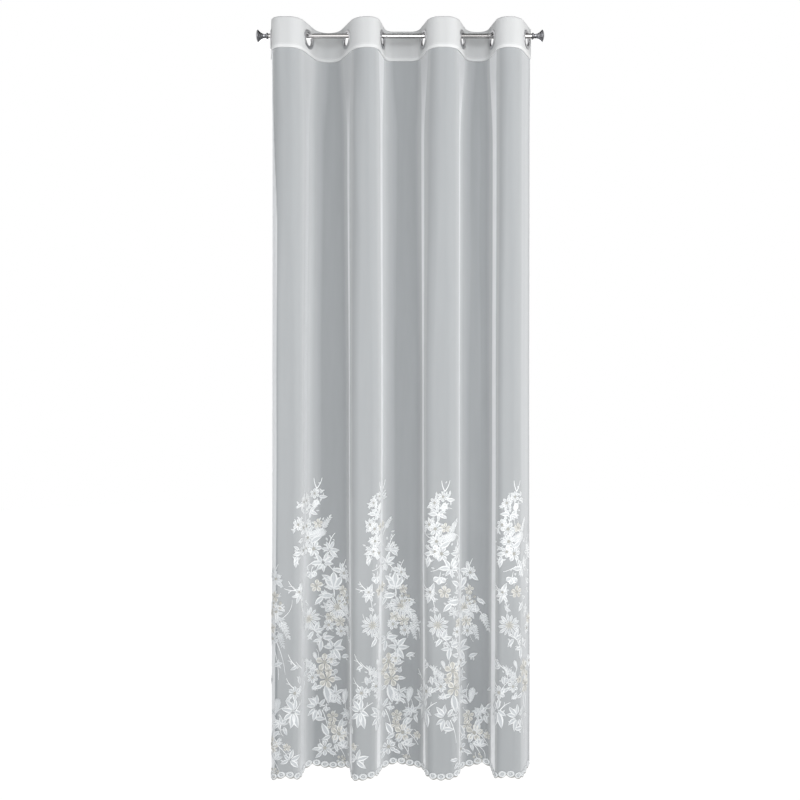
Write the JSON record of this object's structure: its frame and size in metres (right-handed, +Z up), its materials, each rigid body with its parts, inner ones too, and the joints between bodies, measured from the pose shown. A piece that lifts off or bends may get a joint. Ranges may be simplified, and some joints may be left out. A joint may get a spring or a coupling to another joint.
{
  "type": "sheer voile curtain on rod",
  "caption": "Sheer voile curtain with a stiff eyelet heading and a scalloped, embroidered foot, hanging in upright folds from a plain round rod with flared finials.",
  "frame": {"origin": "middle of the rod's axis", "axes": "+X along the rod, to the right of someone in the room who looks at the curtain; -Y towards them; +Z up"},
  "size_m": [0.962, 0.1273, 2.5],
  "materials": {
    "voile": "sheer plain voile, soft sheen",
    "heading": "stiffened white tape under doubled voile",
    "eyelet_metal": "satin nickel",
    "rod_metal": "satin steel tube",
    "finial_metal": "polished",
    "thread": "white satin-stitch thread",
    "thread_cream": "cream satin-stitch thread"
  },
  "bodies": {
    "root": {"voile_panel": "voile", "heading_band": "heading", "eyelet_1": "eyelet_metal", "eyelet_2": "eyelet_metal", "eyelet_3": "eyelet_metal", "eyelet_4": "eyelet_metal", "eyelet_5": "eyelet_metal", "eyelet_6": "eyelet_metal", "eyelet_7": "eyelet_metal", "eyelet_8": "eyelet_metal", "rod": "rod_metal", "finial_left": "finial_metal", "finial_right": "finial_metal"}
  },
  "joints": []
}
